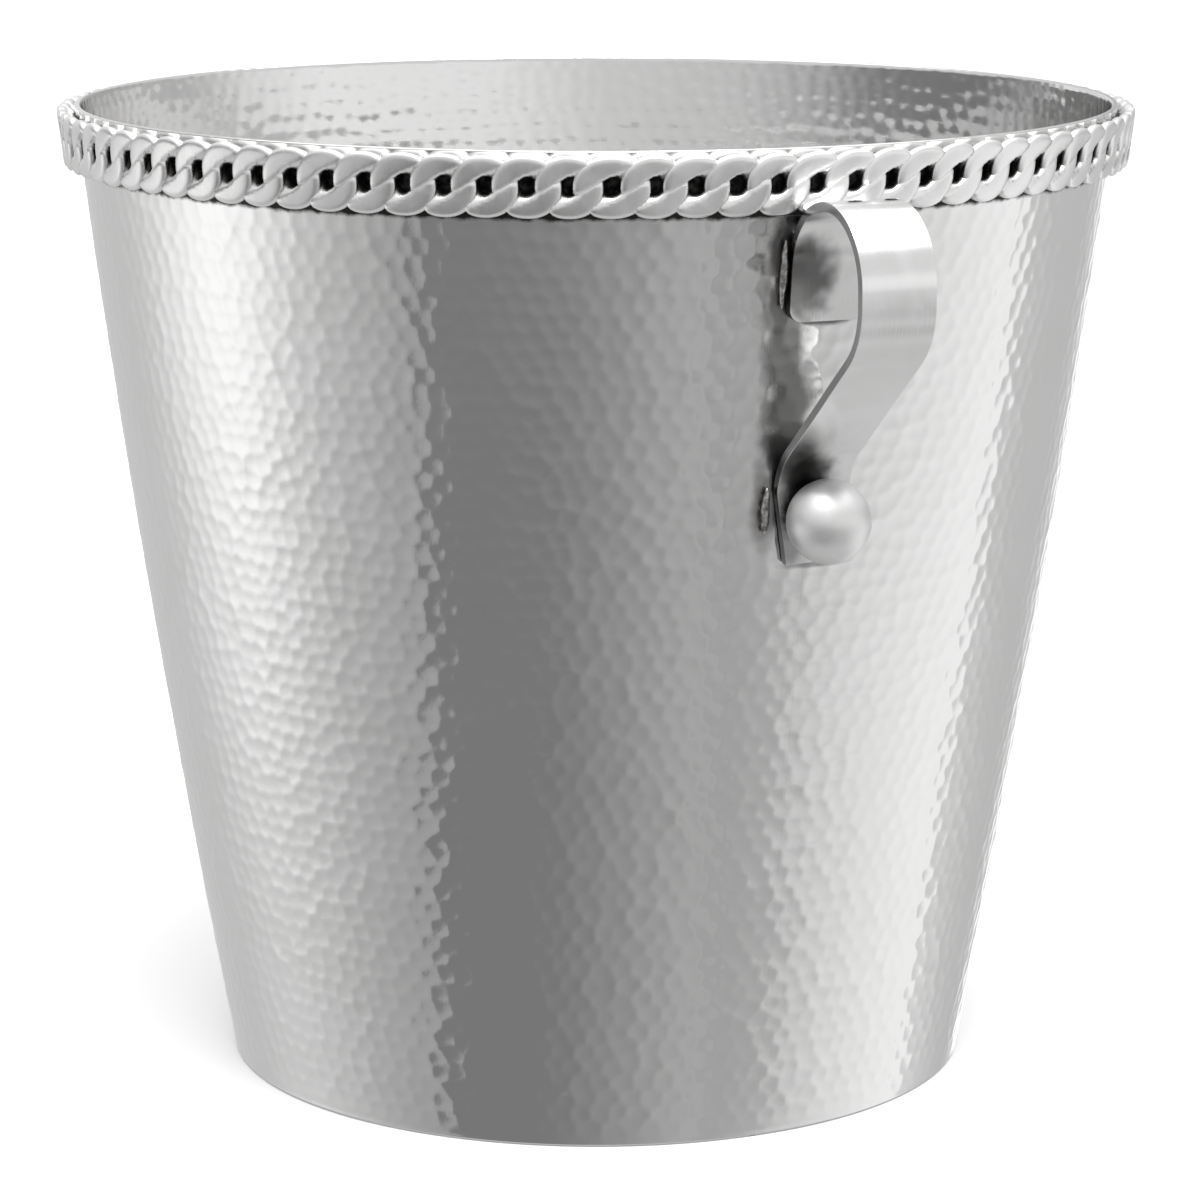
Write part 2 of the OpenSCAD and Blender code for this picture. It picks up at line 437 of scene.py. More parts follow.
def paintedShadeMask(tree, place, shadeMark):
    spot = useGroup(tree, paintedShadeGroup, Vector=place, Centre=shadeMark["centre"], Reach=shadeMark["reach"])
    return mathNode(tree, "MULTIPLY", spot.outputs["Mask"], shadeMark["strength"])


leafEdge = wallPoint(0.184).x
ballEdge = wallPoint(0.140).x
# painted shade and painted reflection of each handle on the wall, darkest beside and under the leaf and
# the foot
wallPaintedShades = [
    paintedShadeAt(leafEdge, -8.8, 188, (6, 3.0, 8), 0.85),               # beside the leaf
    paintedShadeAt(leafEdge, -8.8, 177, (6, 3.2, 9), 0.8),
    paintedShadeAt(leafEdge, 0.5, 173.9, (6, 8, 1.1), 0.8),               # under the leaf
    paintedShadeAt(leafEdge - 2 * mm, -6.8, 167, (9, 4.6, 12), 0.74),     # down to the foot
    paintedShadeAt(leafEdge - 3 * mm, -5.6, 157, (9, 5.2, 11), 0.76),
    paintedShadeAt(ballEdge, -4.8, 149, (9, 6.4, 8), 0.84),
    paintedShadeAt(ballEdge, -8.6, 137, (6, 3.6, 9), 0.62),               # beside the foot
    paintedShadeAt(ballEdge, 2.2, 124.4, (6, 8, 0.9), 0.5),               # under the foot
]
# painted shade on the strap: beside the leaf, and round and below the ball's seat on the foot
strapPaintedShades = [
    paintedShadeAt(leafEdge, -4.8, 184, (6, 6.4, 11), 0.84),
    paintedShadeAt(ballEdge, -2.5, 145, (8, 7.5, 6), 0.86),
    paintedShadeAt(ballEdge, -4.5, 132, (8, 5.5, 8.5), 0.6),
]

outerSteel = makeHammeredSteel("hammeredSteelOutside", outsideFinish, wallPaintedShades)
innerSteel = makeHammeredSteel("hammeredSteelInside", insideFinish, [])


baseFinish = {
    "stretch": (0.06, 1.0, 1.0),
    "lineSize": 1800.0,
    "smudgeSize": 26.0,
    "dark": 0.60,
    "light": 0.70,
    "warmth": 0.01,
    "roughness": 0.24,
    "smudgeRoughness": 0.12,
    "lineRoughness": 0.10,
    "lineDepth": 0.01 * mm,
}
strapFinish = {
    "stretch": (0.08, 1.0, 0.08),  # the lines follow the strap, so they change fast across it
    "lineSize": 2800.0,
    "smudgeSize": 70.0,
    "dark": 0.80,
    "light": 0.86,
    "warmth": 0.004,
    "roughness": 0.13,
    "smudgeRoughness": 0.08,
    "lineRoughness": 0.05,
    "lineDepth": 0.004 * mm,
}
ballFinish = {
    "stretch": (1.0, 1.0, 1.0),
    "lineSize": 1500.0,
    "smudgeSize": 180.0,
    "dark": 0.80,
    "light": 0.86,
    "warmth": 0.004,
    "roughness": 0.43,
    "smudgeRoughness": 0.05,
    "smudgeDepth": 0.01 * mm,
    # painted shade round the ball's seat
    "seatShade": 0.05,
    "seatShadeRoughness": 0.3,
    "seatShadeEdge": (1.4 * mm, -0.2 * mm),    # off the seat, where it ends and is full
    "raggedSize": 1.5 * mm,
    "raggedReach": 1.6 * mm,
    "coat": 0.22,
    "coatRoughness": 0.08,
}


def makeBaseSteel():
    material, tree, shader, _, grain = startSteel("plainBaseSteel", baseFinish)
    tree.links.new(grainTint(tree, grain, baseFinish), shader.inputs["Base Color"])
    tree.links.new(grainRoughness(tree, grain, baseFinish), shader.inputs["Roughness"])
    bumpNode(tree, grain.outputs["Lines"], baseFinish["lineDepth"], shader)
    return material


def makeStrapSteel():
    material, tree, shader, place, grain = startSteel("polishedStrapSteel", strapFinish)
    tint = grainTint(tree, grain, strapFinish)
    # painted shade on the strap
    for shadeMark in strapPaintedShades:
        tint = mixColour(tree, paintedShadeMask(tree, place, shadeMark), tint,
                         grey(patinaAndShade["colour"], patinaAndShade["warmth"]))
    tree.links.new(tint, shader.inputs["Base Color"])
    tree.links.new(grainRoughness(tree, grain, strapFinish), shader.inputs["Roughness"])
    bumpNode(tree, grain.outputs["Lines"], strapFinish["lineDepth"], shader)
    return material


def makeBallSteel(seat):
    # painted shade: darker round the seat, in the crevice where the ball meets the foot
    material, tree, shader, place, grain = startSteel("polishedBallSteel", ballFinish)
    cone = useGroup(tree, coneGroup, Vector=place, Radius=seat["radius"], Height=seat["height"],
                    Slope=seat["slope"])
    ragged = noiseNode(tree, place, ballFinish["raggedSize"])
    reach = mathNode(tree, "MULTIPLY_ADD", ragged, -ballFinish["raggedReach"], cone.outputs["Off"])
    seatShade = rangeNode(tree, reach, *(seat["off"] + edge for edge in ballFinish["seatShadeEdge"]))
    tint = mixColour(tree, seatShade, grainTint(tree, grain, ballFinish), grey(ballFinish["seatShade"], 0.05))
    tree.links.new(tint, shader.inputs["Base Color"])
    rough = mathNode(tree, "MULTIPLY_ADD", grain.outputs["Smudge"], ballFinish["smudgeRoughness"],
                     ballFinish["roughness"])
    rough = mathNode(tree, "MULTIPLY_ADD", seatShade, ballFinish["seatShadeRoughness"], rough)
    tree.links.new(rough, shader.inputs["Roughness"])
    shader.inputs["Coat Weight"].default_value = ballFinish["coat"]
    shader.inputs["Coat Roughness"].default_value = ballFinish["coatRoughness"]
    bumpNode(tree, grain.outputs["Smudge"], ballFinish["smudgeDepth"], shader)
    return material


link = {
    "count": 88,
    "halfLength": 4.1 * mm,        # of the wire's middle line
    "halfHeight": 3.95 * mm,
    "squareness": 2.3,             # 2 is an oval, more is squarer
    "wireEnd": 2.5 * mm,           # half width of the wire at the link's ends
    "wireSide": 2.15 * mm,         # and along its long sides
    "wireDepth": 1.9 * mm,
    "wireSquareness": 2.6,         # of the wire's section
    "swing": 1.05 * mm,            # furthest the wire's middle swings off the band's middle
    "dive": 1700.0,                # how sharply it swings
    "tuck": 0.1,                   # how much lower the parts behind stand
    "crown": 0.14 * mm,            # roundness left on the filed faces
    "roll": 0.5 * mm,              # how far their edges turn over
    "cornerFill": 0.4 * mm,        # metal in the corners of the opening
    "raise": 0.8 * mm,             # how far it stands above the CAD chain's middle
    "shy": 0.15 * mm,              # how far the filed faces stay inside the band's thickness
    "closing": 82,                 # the link that closed the chain is longer
    "closingSize": 1.13,
    "lobeEnd": ((1.7, 1.6), (4.5, 6.1)),       # mm, where the front lobe ends under the next link
    "lobeFoot": ((-6.4, -1.7), (-1.6, 1.3)),   # mm, where it starts above the last link
    "rings": 46,                   # round the link
    "sides": 20,                   # round the wire
    "seed": 5,
    "tilt": 0.018,                 # radians, spread of each link's lean
    "sizeSpread": 0.014,
}


chainFinish = {
    "stretch": (1.0, 1.0, 0.2),
    "lineSize": 2400.0,
    "smudgeSize": 150.0,
    "dark": 0.84,
    "light": 0.90,
    "warmth": 0.004,
    # painted shade colour in the chain's recesses
    "recessShade": 0.06,
    "roughness": 0.47,             # in the recesses
    "polish": 0.2,                 # how much smoother the filed faces are
    "smudgeRoughness": 0.08,
    "lineRoughness": 0.05,
    "smudgeDepth": 0.02 * mm,
    "raggedSize": 1.1 * mm,
    "raggedReach": 0.8 * mm,
    "front": (0.75 * mm, 1.65 * mm),     # off the chain's middle, from painted shade to the steel's own colour
    "rimSide": (0.3 * mm, 1.3 * mm),     # past the wire's middle line, from painted shade to the steel's own colour
}


def makeChainSteel():
    # painted shade: what lies behind the filed fronts is painted near black by its depth, while the
    # fronts and the link tops keep the steel's colour
    material, tree, shader, place, grain = startSteel("filedChainSteel", chainFinish)
    cone = useGroup(tree, coneGroup, Vector=place, Radius=float(wallRadius(chainHeight)),
                    Height=chainHeight, Slope=math.tan(chainLean))
    ragged = noiseNode(tree, place, chainFinish["raggedSize"])
    depth = mathNode(tree, "MULTIPLY_ADD", ragged, chainFinish["raggedReach"], cone.outputs["Off"])
    front = rangeNode(tree, depth, *(chainOff + edge for edge in chainFinish["front"]))
    fromMiddle = mathNode(tree, "ABSOLUTE", cone.outputs["Up"])
    rimSide = rangeNode(tree, fromMiddle, *(link["halfHeight"] + edge for edge in chainFinish["rimSide"]))
    unshaded = mathNode(tree, "MAXIMUM", front, rimSide)
    tint = mixColour(tree, unshaded, grey(chainFinish["recessShade"], 0.05), grainTint(tree, grain, chainFinish))
    tree.links.new(tint, shader.inputs["Base Color"])
    rough = grainRoughness(tree, grain, chainFinish)
    tree.links.new(mathNode(tree, "MULTIPLY_ADD", unshaded, -chainFinish["polish"], rough),
                   shader.inputs["Roughness"])
    bumpNode(tree, grain.outputs["Smudge"], chainFinish["smudgeDepth"], shader)
    return material


darkMetal = {"blotchSize": 1.4 * mm, "blotchEdge": (0.35, 0.7), "blotchPolish": 0.2}


def makeDarkMetal(name, low, high, roughness, bumpDepth):
    material, tree, shader = newFinish(name)
    place = objectPlace(tree)
    blotch = noiseNode(tree, place, darkMetal["blotchSize"], detail=4)
    spread = rangeNode(tree, blotch, *darkMetal["blotchEdge"])
    tree.links.new(mixColour(tree, spread, grey(low, 0.05), grey(high, 0.02)),
                   shader.inputs["Base Color"])
    tree.links.new(mathNode(tree, "MULTIPLY_ADD", spread, -darkMetal["blotchPolish"], roughness),
                   shader.inputs["Roughness"])
    shader.inputs["Metallic"].default_value = 1.0
    bumpNode(tree, blotch, bumpDepth, shader)
    return material


baseSteel = makeBaseSteel()
strapSteel = makeStrapSteel()
chainSteel = makeChainSteel()
# solder behind the chain, painted near black so it also stands for shade in the links' holes and under
# the chain
solderAndShadeMetal = makeDarkMetal("solderPaintedShade", 0.008, 0.05, 0.7, 0.1 * mm)
weldMetal = makeDarkMetal("sootyWeld", 0.16, 0.7, 0.5, 0.1 * mm)
print("finishes made")


# ---- the hammered wall ----

hammer = {
    "pitch": 4.2 * mm,           # between blows
    "scatter": 0.13,             # of the pitch
    "faceRadius": 29 * mm,       # of the hammer's crowned face
    "depthSpread": 0.014 * mm,
    "ridgeSoftness": 0.005 * mm,
    "deepest": 0.20 * mm,
    "waviness": 0.07 * mm,       # slow unevenness of the whole sheet
    "waveSize": 34 * mm,
    "bumpHeight": 0.15 * mm,     # of the round bump that each blow leaves inside
    "bumpSpread": 0.035 * mm,
    "plainFoot": 7 * mm,         # the blows fade out near the foot
    "footShare": 0.25,           # what is left of them at its edge
    "seed": 11,
}
shell = {
    "outside": (4, 268, 316),      # sectors, columns in each, rows
    "inside": (3, 276, 246),
    "overlap": 0.003 * mm,         # the column a sector shares with the next one lies this much deeper
    "innerShy": 0.02 * mm,         # keeps the inside face off the CAD wall's
    "flatFoot": 1 * mm,            # the lowest part, which the dents leave in place
    "cornerRadius": 0.5 * mm,
    "rimRadius": 0.4 * mm,
    "backRows": 6,
}


def layBlows():
    # staggered rows of blows round the wall; counts says how many places in each padded row are real
    picks = np.random.default_rng(hammer["seed"])
    rowGap = hammer["pitch"] * math.sqrt(3) / 2
    rows = np.arange(-2, int(bucketHeight / rowGap) + 4)
    counts = np.round(fullTurn * wallRadius(rows * rowGap) / hammer["pitch"]).astype(int)
    places = np.zeros((len(rows), counts.max(), 3))
    bowls = np.ones((len(rows), counts.max(), 2))
    for row, (level, count) in enumerate(zip(rows, counts)):
        radius = float(wallRadius(level * rowGap))
        turns = (np.arange(count) + 0.5 * (row % 2)) * fullTurn / count
        turns += picks.normal(0, hammer["scatter"], count) * hammer["pitch"] / radius
        heights = level * rowGap + picks.normal(0, hammer["scatter"], count) * hammer["pitch"]
        radii = wallRadius(heights)
        places[row, :count] = np.stack([radii * np.cos(turns), radii * np.sin(turns), heights], 1)
        bowls[row, :count, 0] = hammer["faceRadius"] * picks.uniform(0.8, 1.35, count)
        bowls[row, :count, 1] = hammer["depthSpread"] * picks.uniform(0, 1, count)
    return places, bowls, counts, rowGap


blowPlaces, blowBowls, blowCounts, blowRowGap = layBlows()


def hammerDents(places):
    # how far the sheet is driven in: the bowls of the blows round each place, with soft ridges between
    soft = hammer["ridgeSoftness"]
    nearRow = np.round(places[:, 2] / blowRowGap).astype(int) + 2
    turns = np.arctan2(places[:, 1], places[:, 0]) % fullTurn
    total = np.zeros(len(places))
    for rowStep in (-2, -1, 0, 1, 2):
        row = np.clip(nearRow + rowStep, 0, len(blowCounts) - 1)
        column = np.floor(turns / fullTurn * blowCounts[row] - 0.5 * (row % 2)).astype(int)
        for columnStep in (-2, -1, 0, 1, 2, 3):
            pick = (column + columnStep) % blowCounts[row]
            away = ((places - blowPlaces[row, pick]) ** 2).sum(1)
            bowl = away / (2 * blowBowls[row, pick, 0]) + blowBowls[row, pick, 1]
            total += np.exp(-bowl / soft)
    dents = np.clip(hammer["deepest"] + soft * np.log(total), 0, hammer["deepest"])
    slow = hammer["waviness"] * (0.5 + 0.5 * ripple(places, hammer["waveSize"], hammer["seed"]))
    return dents, np.clip(slow, 0, 1.2 * hammer["waviness"])


def shellProfile(faceRadius, side, rows):
    # side is 1 for the outside half of the sheet and -1 for the inside half
    corner = shell["cornerRadius"]
    rim = shell["rimRadius"]
    face = []
    if side > 0:
        for turn in np.radians(np.linspace(-90, -15, 6)):
            face.append((float(faceRadius(corner)) + corner * (math.cos(turn) - 1),
                         corner + corner * math.sin(turn)))
    else:
        face.append((float(faceRadius(0)), 0.0))
    face += [(float(faceRadius(height)), float(height))
             for height in np.linspace(corner, bucketHeight - rim, rows)]
    for turn in np.radians([22.5, 45, 67.5, 90]):
        face.append((float(faceRadius(bucketHeight)) - side * rim * (1 - math.cos(turn)),
                     bucketHeight - rim + rim * math.sin(turn)))
    back = [(float(wallRadius(height)) - wallThick / 2, float(height))
            for height in np.linspace(bucketHeight, 0, shell["backRows"])]
    return face + back


def spinSector(profile, columns, step, name):
    # one closed slice of the shell, with a column more on each side than its share
    bm = bmesh.new()
    verts = [bm.verts.new((radius, 0, height)) for radius, height in profile]
    edges = [bm.edges.new(pair) for pair in zip(verts, verts[1:] + verts[:1])]
    bmesh.ops.spin(bm, geom=verts + edges, axis=(0, 0, 1), cent=(0, 0, 0), dvec=(0, 0, 0),
                   angle=(columns + 2) * step, steps=columns + 2)
    rims = [edge for edge in bm.edges if edge.is_boundary]
    bmesh.ops.holes_fill(bm, edges=rims)
    return finishMesh(bm, name, 50)


def makeShell(name, faceRadius, side, sector, sectors, columns, rows):
    step = fullTurn / (sectors * columns)
    piece = spinSector(shellProfile(faceRadius, side, rows), columns, step, name)
    data = piece.data
    start = (sector * columns - 1) * step
    data.transform(Matrix.Rotation(start, 4, "Z"))
    places = np.zeros(len(data.vertices) * 3, np.float32)
    data.vertices.foreach_get("co", places)
    places = places.reshape(-1, 3).astype(float)
    radii = np.hypot(places[:, 0], places[:, 1])
    onFace = (radii - wallRadius(places[:, 2]) + wallThick / 2) * side > 0.1 * wallThick
    moved = places[onFace]
    scale = wallRadius(moved[:, 2]) / radii[onFace]
    dents, slow = hammerDents(moved * np.stack([scale, scale, np.ones_like(scale)], 1))
    if side > 0:
        fade = np.clip(moved[:, 2] / hammer["plainFoot"], 0, 1)
        fade = fade * fade * (3 - 2 * fade)
        push = dents * (hammer["footShare"] + (1 - hammer["footShare"]) * fade) + slow
        push *= np.clip(moved[:, 2] / shell["flatFoot"], 0, 1)
    else:
        fromBlow = hammer["deepest"] - dents
        push = hammer["bumpHeight"] * np.exp(-fromBlow / hammer["bumpSpread"]) + slow
    column = ((np.arctan2(moved[:, 1], moved[:, 0]) - start) % fullTurn) / step
    shared = (column < 0.5) | (column > columns + 1.5)
    push += shell["overlap"] * shared * side
    outward = moved / radii[onFace][:, None]
    outward[:, 2] = 0
    places[onFace] -= outward * push[:, None]
    data.vertices.foreach_set("co", places.astype(np.float32).ravel())
    data.update()
    return piece


def innerFace(height):
    return wallRadius(height) - wallThick - shell["innerShy"]


for place, faceRadius, side, steel in (("outside", wallRadius, 1, outerSteel),
                                       ("inside", innerFace, -1, innerSteel)):
    sectors, columns, rows = shell[place]
    for sector in range(sectors):
        wallPiece = makeShell(f"bucketWall{place.capitalize()}{sector + 1}", faceRadius, side,
                              sector, sectors, columns, rows)
        setDown(wallPiece, steel, ["bucket_wall"])
        print(wallPiece.name, len(wallPiece.data.polygons), "faces")


# ---- the base disc ----

base = {
    "rise": 0.35 * mm,          # doming of the underside
    "fillet": 1.6 * mm,         # seam metal where the disc meets the wall
    "plateShare": 0.97,         # of the radius, where the flat upper face ends
    "rings": 10,
    "steps": 192,
}


def makeBaseDisc():
    top = float(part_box("base_disc")[1].z)
    radius = float(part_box("base_disc")[1].x)
    under = [(radius * share, base["rise"] * (1 - share * share))
             for share in np.linspace(0, 1, base["rings"])]
    seam = [(radius - base["fillet"] * (1 - math.cos(turn)), top + base["fillet"] * (1 - math.sin(turn)))
            for turn in np.radians([0, 22, 45, 67, 90])]
    upper = [(radius * share * base["plateShare"], top) for share in np.linspace(1, 0, base["rings"])]
    bm = spinProfile(under + seam + upper, base["steps"], closed=False)
    return finishMesh(bm, "baseDisc", 35)


baseDisc = setDown(makeBaseDisc(), baseSteel, ["base_disc"])
print("base disc made")


# ---- the curb chain ----

def wireSection():
    # the wire's section before it is filed: across and off the band, from the outer side round
    turns = np.arange(link["sides"]) / link["sides"] * fullTurn
    rounding = 2 / link["wireSquareness"]
    across = np.sign(np.cos(turns)) * np.abs(np.cos(turns)) ** rounding
    off = np.sign(np.sin(turns)) * np.abs(np.sin(turns)) ** rounding
    return across, off


def leftOf(line, across, up):
    # signed distance from a line through two points, more than 0 on its left
    (startX, startY), (endX, endY) = line
    length = math.hypot(endX - startX, endY - startY)
    aheadX = (endX - startX) / length
    aheadY = (endY - startY) / length
    return aheadX * (up - startY * mm) - aheadY * (across - startX * mm)


def frontLobe(across, up):
    return np.minimum(leftOf(link["lobeEnd"], across, up), leftOf(link["lobeFoot"], across, up))


def bendLink(bm):
    # bends the plain ring that the spin made into one twisted, filed link
    places = readPlaces(bm)
    turns = np.arctan2(places[:, 1], places[:, 0])
    turns = np.round(turns / fullTurn * link["rings"]) / link["rings"] * fullTurn
    around = np.arctan2(places[:, 2], np.hypot(places[:, 0], places[:, 1]) - 1)
    sides = np.round(around / fullTurn * link["sides"]).astype(int) % link["sides"]
    power = 2 / link["squareness"]
    middleX = link["halfLength"] * np.sign(np.cos(turns)) * np.abs(np.cos(turns)) ** power
    middleY = link["halfHeight"] * np.sign(np.sin(turns)) * np.abs(np.sin(turns)) ** power
    outX = link["halfHeight"] * np.cos(turns)
    outY = link["halfLength"] * np.sin(turns)
    outLength = np.hypot(outX, outY)
    width = link["wireEnd"] + (link["wireSide"] - link["wireEnd"]) * np.abs(np.sin(turns)) ** 1.5
    sectionAcross, sectionOff = wireSection()
    fill = link["cornerFill"] * np.sin(2 * turns) ** 2 * np.clip(-sectionAcross[sides], 0, 1)
    reach = width * sectionAcross[sides] - fill
    across = middleX + outX / outLength * reach
    up = middleY + outY / outLength * reach
    # the upper lobe and the lower one, half a turn round, come to the front; the rest dives behind
    front = np.maximum(frontLobe(across, up), frontLobe(-across, -up))
    swing = np.tanh(link["dive"] * front)
    up *= 1 - link["tuck"] * (0.5 - 0.5 * swing)
    filed = (chainHalf - link["shy"] - link["crown"] * sectionAcross[sides] ** 2
             - link["roll"] * sectionAcross[sides] ** 8)
    off = np.clip(link["swing"] * swing + sectionOff[sides] * link["wireDepth"], -chainHalf, filed)
    off -= across ** 2 / (2 * wallRadius(chainHeight))      # follows the wall round
    writePlaces(bm, np.stack([across, up, off], 1))


def makeLinkMesh():
    bm = bmesh.new()
    bmesh.ops.create_circle(bm, segments=link["sides"], radius=0.4,
                            matrix=Matrix.Translation((1, 0, 0)) @ Matrix.Rotation(math.pi / 2, 4, "X"))
    bmesh.ops.spin(bm, geom=bm.verts[:] + bm.edges[:], axis=(0, 0, 1), cent=(0, 0, 0),
                   dvec=(0, 0, 0), angle=fullTurn, steps=link["rings"], use_merge=True)
    bendLink(bm)
    bmesh.ops.recalc_face_normals(bm, faces=bm.faces)
    mesh = bpy.data.meshes.new("plainLink")
    bm.to_mesh(mesh)
    bm.free()
    return mesh


def makeChainRun(name, firstNode, lastNode, linkMesh, picks):
    bm = bmesh.new()
    home = wallPoint(chainHeight + link["raise"]) + wallOut(chainHeight) * chainOff
    stand = Matrix.Translation(home) @ Matrix.Rotation(math.pi / 2 + chainLean, 4, "Y")
    stand = stand @ Matrix.Rotation(math.pi / 2, 4, "Z")     # x along the rim, y up, z outward
    for index in range(firstNode * 4, lastNode * 4):
        before = len(bm.verts)
        bm.from_mesh(linkMesh)
        bm.verts.ensure_lookup_table()
        fresh = bm.verts[before:]
        lean = Matrix.Rotation(picks.normal(0, link["tilt"]), 4, "X")
        lean = lean @ Matrix.Rotation(picks.normal(0, link["tilt"]), 4, "Y")
        lean = lean @ Matrix.Rotation(picks.normal(0, link["tilt"]), 4, "Z")
        size = 1 + picks.normal(0, link["sizeSpread"])
        if index == link["closing"]:
            size = link["closingSize"]
        lean = lean @ Matrix.Diagonal((size, 1 + picks.normal(0, link["sizeSpread"] / 2), 1, 1))
        turn = Matrix.Rotation((index + 0.5) / link["count"] * fullTurn, 4, "Z")
        bmesh.ops.transform(bm, matrix=turn @ stand @ lean, verts=fresh)
    return finishMesh(bm, name, 60)


chainPicks = np.random.default_rng(link["seed"])
plainLink = makeLinkMesh()
runEnds = [0, 6, 11, 17, 22]
for run, (firstNode, lastNode) in enumerate(zip(runEnds, runEnds[1:]), 1):
    chainRun = makeChainRun(f"rimChainRun{run}", firstNode, lastNode, plainLink, chainPicks)
    setDown(chainRun, chainSteel, chainNodes[firstNode:lastNode])
bpy.data.meshes.remove(plainLink)
print("rim chain:", link["count"], "links")


solder = {
    "thick": 0.75 * mm,
    "shy": 0.9 * mm,               # how far it stops short of the chain's edges
    "rough": 0.18 * mm,
    "roughSizes": (3.1 * mm, 6.7 * mm),
    "sunk": 0.3 * mm,              # how far its back lies inside the wall
    "steps": 420,
    "rows": 12,
}


def makeSolderBand():
    low = float(chainPoints[:, 2].min()) + solder["shy"]
    high = float(chainPoints[:, 2].max()) - solder["shy"]
    face = []
    for height in np.linspace(low, high, solder["rows"]):
        share = (height - low) / (high - low)
        bulge = solder["thick"] * (1 - abs(2 * share - 1) ** 4)
        face.append((float(wallRadius(height)) + bulge, height))
    back = [(float(wallRadius(height)) - solder["sunk"], height) for height in np.linspace(high, low, 4)]
    bm = spinProfile(face + back, solder["steps"])
    places = readPlaces(bm)
    radii = np.hypot(places[:, 0], places[:, 1])
    proud = np.clip((radii - wallRadius(places[:, 2])) / solder["thick"], 0, 1)
    rough = solder["rough"] * sum(ripple(places, size, seed)
                                  for size, seed in zip(solder["roughSizes"], (21, 22)))
    outward = places / radii[:, None]
    outward[:, 2] = 0
    places += outward * (proud * rough)[:, None]
    writePlaces(bm, places)
    return finishMesh(bm, "chainSolder", 60)


# real solder, painted near black as shade behind and under the chain
setDown(makeSolderBand(), solderAndShadeMetal)
print("solder band made")


# ---- the strap handles ----

strap = {
    "width": 15.8 * mm,
    "thick": 1.8 * mm,
    "gap": 0.06 * mm,
    "loopRadius": 15.5 * mm,       # outside of the finger loop
    "loopDrop": 3 * mm,            # straight outer side between its upper and lower curves
    "leafTop": 185.3 * mm,
    "leafLength": 11.2 * mm,
    "runAngle": 40,
    "bendRadius": 14 * mm,         # inside of the bend above the foot
    "footEnd": 125 * mm,
    "footTaper": 140 * mm,
    "footEdges": (-4.8 * mm, 9.2 * mm),
    "footTilt": 0.8 * mm,
    "cornerRadius": 2.8 * mm,      # of the leaf's lower corners
    "edgeRadius": 0.78 * mm,
    "acrossCuts": 7,
    "loopSteps": 44,
    "lowLoopSteps": 14,
    "runSteps": 10,
    "bendSteps": 16,
    "footSteps": 12,
    "handWave": 0.07 * mm,
}


# the leaf is cut finely near its end, where the corners are rounded
leafShares = np.array([1, 0.985, 0.96, 0.92, 0.87, 0.81, 0.75, 0.6, 0.45, 0.3, 0.15])


def flatOf(vector):
    return np.array([vector.x, vector.z])


def arcPath(centre, radius, start, end, steps):
    turns = np.radians(np.linspace(start, end, steps))
    return [centre + radius * np.array([math.cos(turn), math.sin(turn)]) for turn in turns]


def strapPath():
    # the strap's middle line as [radius, height], from the leaf's end to past the foot's end
    thick = strap["thick"]
    lean = math.degrees(wallLean(strap["leafTop"]))
    loopCentre = (flatOf(wallPoint(strap["leafTop"]))
                  + (strap["loopRadius"] + strap["gap"]) * flatOf(wallOut(strap["leafTop"])))
    lowCentre = loopCentre - np.array([0, strap["loopDrop"]])
    loop = arcPath(loopCentre, strap["loopRadius"] - thick / 2, 180 - lean, 0,
                   strap["loopSteps"])
    loop += arcPath(lowCentre, strap["loopRadius"] - thick / 2, 0, strap["runAngle"] - 90,
                    strap["lowLoopSteps"])
    down = np.array([-math.sin(math.radians(lean)), -math.cos(math.radians(lean))])
    leaf = [loop[0] + down * share * strap["leafLength"] for share in leafShares]
    runOut = np.array([math.cos(math.radians(strap["runAngle"] - 90)),
                       math.sin(math.radians(strap["runAngle"] - 90))])
    runDown = -np.array([math.cos(math.radians(strap["runAngle"])),
                         math.sin(math.radians(strap["runAngle"]))])
    footMiddle = (strap["footEnd"] + strap["footTaper"]) / 2
    footOut = flatOf(wallOut(footMiddle))
    bendReach = strap["bendRadius"] + thick + strap["gap"]
    runStart = lowCentre + (strap["loopRadius"] + strap["bendRadius"]) * runOut
    runLength = ((bendReach - (runStart - flatOf(wallPoint(footMiddle))) @ footOut)
                 / (runDown @ footOut))
    bendCentre = runStart + runLength * runDown
    footLean = math.degrees(wallLean(footMiddle))
    bend = arcPath(bendCentre, strap["bendRadius"] + thick / 2, 90 + strap["runAngle"],
                   180 - footLean, strap["bendSteps"])
    run = [loop[-1] + (bend[0] - loop[-1]) * share
           for share in np.linspace(0, 1, strap["runSteps"])[1:-1]]
    footDown = np.array([-math.sin(math.radians(footLean)), -math.cos(math.radians(footLean))])
    footLength = (bend[-1][1] - strap["footEnd"]) / math.cos(math.radians(footLean)) + 1 * mm
    foot = [bend[-1] + footDown * footLength * share
            for share in np.linspace(0, 1, strap["footSteps"])[1:]]
    return leaf + loop + run + bend + foot


